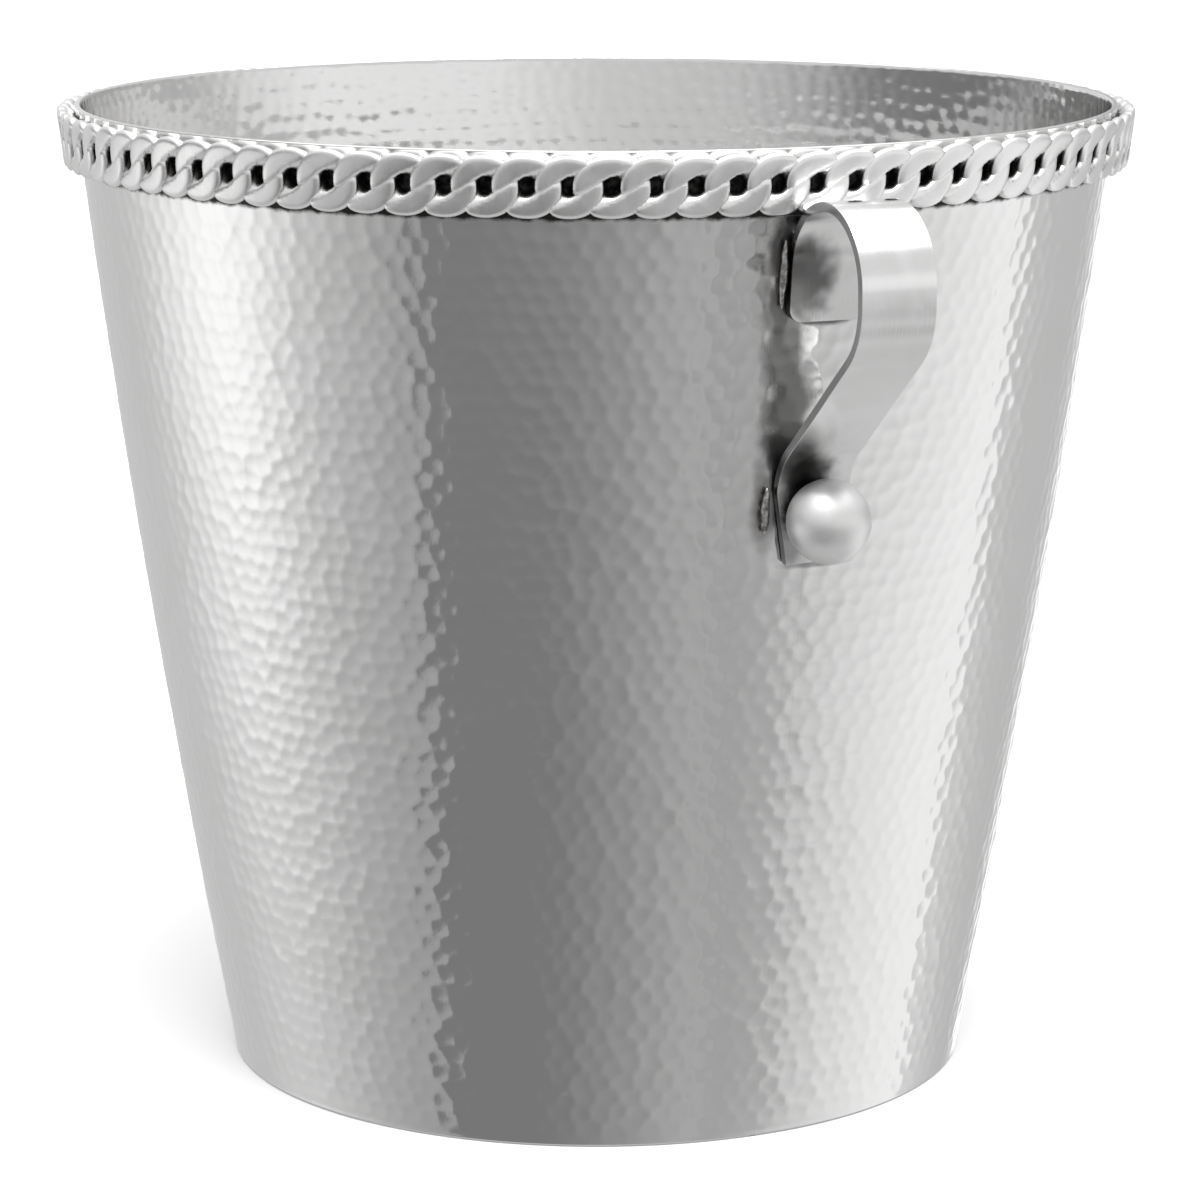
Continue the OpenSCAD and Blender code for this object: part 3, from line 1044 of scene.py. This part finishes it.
def makeStrap(name):
    half = strap["width"] / 2
    bm = bmesh.new()
    path = strapPath()
    verts = [bm.verts.new((point[0], -half, point[1])) for point in path]
    edges = [bm.edges.new(pair) for pair in zip(verts, verts[1:])]
    grown = bmesh.ops.extrude_edge_only(bm, edges=edges)["geom"]
    bmesh.ops.translate(bm, vec=(0, strap["width"], 0),
                        verts=[item for item in grown if isinstance(item, bmesh.types.BMVert)])
    crossing = [edge for edge in bm.edges
                if abs(edge.verts[0].co.y - edge.verts[1].co.y) > 0.5 * strap["width"]]
    bmesh.ops.subdivide_edges(bm, edges=crossing, cuts=strap["acrossCuts"], use_grid_fill=True)
    leafEnd = Vector((path[0][0], 0, path[0][1]))
    loopStart = path[len(leafShares)]
    for vert in bm.verts:
        place = vert.co
        side = place.y / half
        fromEnd = math.hypot(place.x - leafEnd.x, place.z - leafEnd.z)
        onLeaf = place.x < loopStart[0] + 1 * mm and place.z > leafEnd.z - 1 * mm
        if onLeaf and fromEnd < strap["cornerRadius"]:
            short = strap["cornerRadius"] - fromEnd
            limit = half - strap["cornerRadius"] + math.sqrt(strap["cornerRadius"] ** 2 - short ** 2)
            place.y = side * limit
        if place.z < strap["footTaper"]:
            share = (strap["footTaper"] - place.z) / (strap["footTaper"] - strap["footEnd"])
            left, right = strap["footEdges"]
            skewed = left + (right - left) * (side + 1) / 2
            place.y += (skewed - place.y) * min(share, 1.2)
    left, right = strap["footEdges"]
    footCut = Vector((0, -strap["footTilt"], right - left)).normalized()
    bmesh.ops.bisect_plane(bm, geom=bm.verts[:] + bm.edges[:] + bm.faces[:], dist=1e-6,
                           plane_co=(0, left, strap["footEnd"]), plane_no=footCut,
                           clear_inner=True)
    places = readPlaces(bm)
    wave = ripple(places, 26 * mm, 31) * strap["handWave"]
    free = np.clip((places[:, 0] - wallRadius(places[:, 2])) / (4 * mm) - 0.5, 0, 1)
    places[:, 0] -= np.abs(wave) * free
    writePlaces(bm, places)
    piece = finishMesh(bm, name, 60)
    sheet = piece.modifiers.new("thickness", "SOLIDIFY")
    sheet.thickness = strap["thick"]
    sheet.offset = 0
    sheet.use_even_offset = True
    edge = piece.modifiers.new("roundedEdges", "BEVEL")
    edge.width = strap["edgeRadius"]
    edge.segments = 4
    edge.limit_method = "ANGLE"
    edge.angle_limit = math.radians(50)
    edge.harden_normals = True
    return piece


def turnRound(piece):
    # the left handle is the right one turned half way round the bucket
    piece.data.transform(Matrix.Rotation(math.pi, 4, "Z"))
    piece.data.update()
    return piece


for side in ("right", "left"):
    handle = makeStrap(f"handleStrap{side.capitalize()}")
    if side == "left":
        turnRound(handle)
    setDown(handle, strapSteel, [f"handle_strap_{side}"])
print("handle straps made")


# ---- the ball rivets ----

rivet = {
    "flat": 1 * mm,                # filed off the ball where it meets the foot
    "shank": 5 * mm,
    "leanRise": 1.2 * mm,          # above the ball's middle, where its axis takes the wall's lean
    "headWidth": 8.6 * mm,         # peened end inside the bucket
    "headHeight": 1.4 * mm,
    "headLip": 0.15 * mm,          # how far the head is let into the sheet
    "ballRings": 44,
    "steps": 96,
}


def rivetFrame():
    low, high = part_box("ball_rivet_right")
    ballRadius = (high.y - low.y) / 2
    centre = Vector((high.x - ballRadius, 0, 0))
    # the ball is the rivet's widest part, so its middle lies half its width below its top
    centre.z = high.z - ballRadius
    lean = wallLean(centre.z + rivet["leanRise"])
    out = Vector((math.cos(lean), 0, -math.sin(lean)))
    off = (centre.x - float(wallRadius(centre.z))) * math.cos(lean)
    return ballRadius, centre, out, off


ballRadius, ballCentre, rivetOut, ballOff = rivetFrame()


def makeRivet(name):
    # profile along the rivet's axis, with the wall's outer face at 0
    inside = -wallThick - 0.1 * mm
    halfHead = rivet["headWidth"] / 2
    profile = []
    for turn in np.radians(np.linspace(90, 0, 9)):
        profile.append((halfHead * math.cos(turn), inside - rivet["headHeight"] * math.sin(turn)))
    profile += [(halfHead, inside + rivet["headLip"]), (rivet["shank"] / 2, inside + rivet["headLip"])]
    seatTurn = math.asin(-(ballRadius - rivet["flat"]) / ballRadius)
    seatOff = ballOff + ballRadius * math.sin(seatTurn)
    profile.append((rivet["shank"] / 2, seatOff))
    for turn in np.linspace(seatTurn, math.pi / 2, rivet["ballRings"]):
        profile.append((ballRadius * math.cos(turn) if turn < math.pi / 2 - 1e-6 else 0.0,
                        ballOff + ballRadius * math.sin(turn)))
    profile[0] = (0.0, profile[0][1])
    bm = spinProfile(profile, rivet["steps"], closed=False)
    base = ballCentre - rivetOut * ballOff
    turn = Vector((0, 0, 1)).rotation_difference(rivetOut).to_matrix().to_4x4()
    bmesh.ops.transform(bm, matrix=Matrix.Translation(base) @ turn, verts=bm.verts)
    return finishMesh(bm, name, 40)


ballSteel = makeBallSteel({
    "radius": float(wallRadius(ballCentre.z)), "height": ballCentre.z,
    "slope": math.tan(wallLean(ballCentre.z)), "off": (strap["thick"] + 0.3 * mm)})
for side in ("right", "left"):
    ball = makeRivet(f"ballRivet{side.capitalize()}")
    if side == "left":
        turnRound(ball)
    setDown(ball, ballSteel, [f"ball_rivet_{side}"])
print("ball rivets made")


# ---- weld beads ----

weld = {
    "roundness": 4,                # subdivisions of each bead
    "lumps": 0.22,
    "lumpSize": 2.6 * mm,
    "fatten": 0.9,
}


def makeWeld(name, node, seed):
    low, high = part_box(node)
    centre = (low + high) / 2
    lean = wallLean(centre.z)
    halfLength = (high.z - low.z) / 2 / math.cos(lean)
    halfWidth = (high.y - low.y) / 2
    bm = bmesh.new()
    bmesh.ops.create_icosphere(bm, subdivisions=weld["roundness"], radius=1)
    places = readPlaces(bm) * np.array([halfWidth, halfWidth, halfLength]) * weld["fatten"]
    lumps = 1 + weld["lumps"] * ripple(places, weld["lumpSize"], seed)
    places[:, :2] *= lumps[:, None]
    writePlaces(bm, places)
    bmesh.ops.transform(bm, matrix=Matrix.Translation(centre) @ Matrix.Rotation(lean, 4, "Y"),
                        verts=bm.verts)
    return finishMesh(bm, name, 80)


for site, seed in (("leaf", 41), ("foot", 43)):
    for side in ("right", "left"):
        bead = makeWeld(f"{site}Weld{side.capitalize()}", f"{site}_weld_right", seed)
        if side == "left":
            turnRound(bead)
        setDown(bead, weldMetal, [f"{site}_weld_{side}"])
print("weld beads made")


# ---- studio ----

studio = {
    "cameraTurn": 66,              # degrees round from -Y towards +X
    "cameraDistance": 0.9327,
    "cameraHeight": 0.292,
    "cameraPitch": 11.74,
    "lens": 130.26,
    "shift": 0.0033,
    "floorSize": 6.0,
}

# brightness of the tent's lower wall by degrees round from the camera: what the foot of the bucket
# mirrors, what its upper half mirrors, and what shows above the horizon
deepTent = [
    (-180, 0.43), (-135, 0.44), (-112, 0.50), (-97, 0.52), (-85, 0.48), (-74, 0.43), (-64, 0.37),
    (-54, 0.33), (-42, 0.29), (-40, 0.17), (-12, 0.17), (-4, 0.20), (4, 0.24), (12, 0.28),
    (20, 0.33), (27.5, 0.36), (29, 0.32), (37, 0.34), (45, 0.38), (54, 0.52), (64, 0.60),
    (74, 0.67), (97, 0.77), (112, 0.80), (114.5, 0.61), (122, 0.58), (135, 0.48), (145, 0.41),
    (155, 0.35), (165, 0.49), (180, 0.6),
]
lowTent = [
    (-180, 0.6), (-165, 0.46), (-135, 0.47), (-125, 0.53), (-115, 0.67), (-105, 0.82),
    (-95, 0.92), (-85, 0.82), (-75, 0.61), (-65, 0.47), (-55, 0.40), (-45, 0.31), (-41, 0.27),
    (-39.5, 0.18), (-25, 0.18), (-5, 0.22), (5, 0.26), (15, 0.33), (26, 0.37), (28, 0.29),
    (40, 0.33), (55, 0.44), (65, 0.52), (85, 0.66), (105, 0.78), (111, 0.80), (113.5, 0.52),
    (125, 0.45), (145, 0.42), (155, 0.49), (163, 0.91), (180, 1.0),
]
highTent = [
    (-180, 0.6), (-150, 0.60), (-137, 0.72), (-126, 0.26), (-103, 0.15), (-80, 0.17),
    (-68, 0.21), (-57, 0.32), (-46, 0.40), (-34, 0.47), (0, 0.55), (23, 0.70), (68, 0.74),
    (91, 0.62), (103, 0.47), (114, 0.38), (126, 0.42), (149, 0.32), (180, 0.4),
]
tent = {
    "gain": 1.35,                  # makes up for what the steel takes
    "table": 0.62,                 # straight below, near the bucket
    "tableEdge": (-0.84, -0.70),   # upward part of the direction where that starts
    "deepEdge": (-0.50, -0.28),
    "horizonEdge": (-0.16, -0.02),
    "wallTop": (0.16, 0.30),
    "dome": 0.78,
    "top": 1.75,
    "topEdge": (0.66, 0.76),
    "spread": (-0.62, -0.41, 0.78, 1.0),   # draws the tent's seams in as they come down
    "seen": 1.0,
}


def tentRamp(tree, around, table):
    ramp = addNode(tree, "ShaderNodeValToRGB")
    stops = ramp.color_ramp.elements
    while len(stops) > 1:
        stops.remove(stops[-1])
    for index, (degrees, brightness) in enumerate(table):
        spot = (degrees + 180) / 360
        stop = stops[0] if index == 0 else stops.new(spot)
        stop.position = spot
        level = brightness * tent["gain"] / 2          # a ramp's colours stay below 1
        stop.color = (level, level, level, 1)
    tree.links.new(around, ramp.inputs["Fac"])
    return ramp.outputs["Color"]


def makeTent():
    world = bpy.data.worlds.new("studioTent")
    scene.world = world
    world.use_nodes = True
    tree = world.node_tree
    background = tree.nodes["Background"]
    direction = addNode(tree, "ShaderNodeTexCoord").outputs["Generated"]
    turned = addNode(tree, "ShaderNodeVectorRotate", rotation_type="Z_AXIS")
    turned.inputs["Angle"].default_value = math.radians(90 - studio["cameraTurn"])
    tree.links.new(direction, turned.inputs["Vector"])
    around = addNode(tree, "ShaderNodeTexGradient", gradient_type="RADIAL")
    tree.links.new(turned.outputs[0], around.inputs["Vector"])
    parts = addNode(tree, "ShaderNodeSeparateXYZ")
    tree.links.new(direction, parts.inputs[0])
    up = parts.outputs["Z"]
    fromFront = mathNode(tree, "SUBTRACT", around.outputs["Fac"], 0.5)
    drawn = mathNode(tree, "MULTIPLY_ADD", fromFront, rangeNode(tree, up, *tent["spread"]), 0.5)
    deep = tentRamp(tree, drawn, deepTent)
    low = tentRamp(tree, drawn, lowTent)
    high = tentRamp(tree, around.outputs["Fac"], highTent)
    whole = mixColour(tree, rangeNode(tree, up, *tent["deepEdge"]), deep, low)
    whole = mixColour(tree, rangeNode(tree, up, *tent["horizonEdge"]), whole, high)
    whole = mixColour(tree, rangeNode(tree, up, *tent["tableEdge"]), grey(tent["table"] / 2), whole)
    whole = mixColour(tree, rangeNode(tree, up, *tent["wallTop"]), whole, grey(tent["dome"] / 2))
    whole = mixColour(tree, rangeNode(tree, up, *tent["topEdge"]), whole, grey(tent["top"] / 2))
    rays = addNode(tree, "ShaderNodeLightPath")
    shown = mixColour(tree, rays.outputs["Is Camera Ray"], whole, grey(tent["seen"] / 2))
    tree.links.new(shown, background.inputs["Color"])
    background.inputs["Strength"].default_value = 2.0


def makeFloor():
    bm = bmesh.new()
    bmesh.ops.create_circle(bm, segments=96, radius=studio["floorSize"], cap_ends=True)
    floor = finishMesh(bm, "studioFloor")
    material, tree, shader = newFinish("paleFloor")
    place = objectPlace(tree)
    cloud = noiseNode(tree, place, 0.4, detail=2)
    tree.links.new(mixColour(tree, cloud, grey(0.90), grey(0.93)), shader.inputs["Base Color"])
    shader.inputs["Roughness"].default_value = 0.9
    shader.inputs["Specular IOR Level"].default_value = 0.0
    floor.data.materials.append(material)
    floor.location.z = -0.2 * mm
    floor.visible_glossy = False       # the steel mirrors the tent instead


def makeLamp(name, turn, height, distance, size, watts):
    light = bpy.data.lights.new(name, "AREA")
    light.shape = "RECTANGLE"
    light.size, light.size_y = size
    light.energy = watts
    lamp = bpy.data.objects.new(name, light)
    scene.collection.objects.link(lamp)
    heading = math.radians(studio["cameraTurn"] + turn)
    back = Vector((math.sin(heading) * math.cos(math.radians(height)),
                   -math.cos(heading) * math.cos(math.radians(height)),
                   math.sin(math.radians(height))))
    lamp.location = Vector((0, 0, bucketHeight)) + back * distance
    lamp.rotation_euler = (-back).to_track_quat("-Z", "Y").to_euler()


def makeCamera():
    lens = bpy.data.cameras.new("studioCamera")
    lens.lens = studio["lens"]
    lens.shift_x = studio["shift"]
    lens.clip_start = 0.05
    camera = bpy.data.objects.new("studioCamera", lens)
    scene.collection.objects.link(camera)
    heading = math.radians(studio["cameraTurn"])
    pitch = math.radians(studio["cameraPitch"])
    away = Vector((math.sin(heading), -math.cos(heading), 0))
    camera.location = away * studio["cameraDistance"] + Vector((0, 0, studio["cameraHeight"]))
    sight = -away * math.cos(pitch) - Vector((0, 0, math.sin(pitch)))
    camera.rotation_euler = sight.to_track_quat("-Z", "Y").to_euler()
    scene.camera = camera


makeTent()
makeFloor()
makeLamp("overheadSoftbox", turn=12, height=68, distance=1.3, size=(0.75, 0.34), watts=14)
makeCamera()
scene.view_settings.view_transform = "Standard"
print("studio ready")
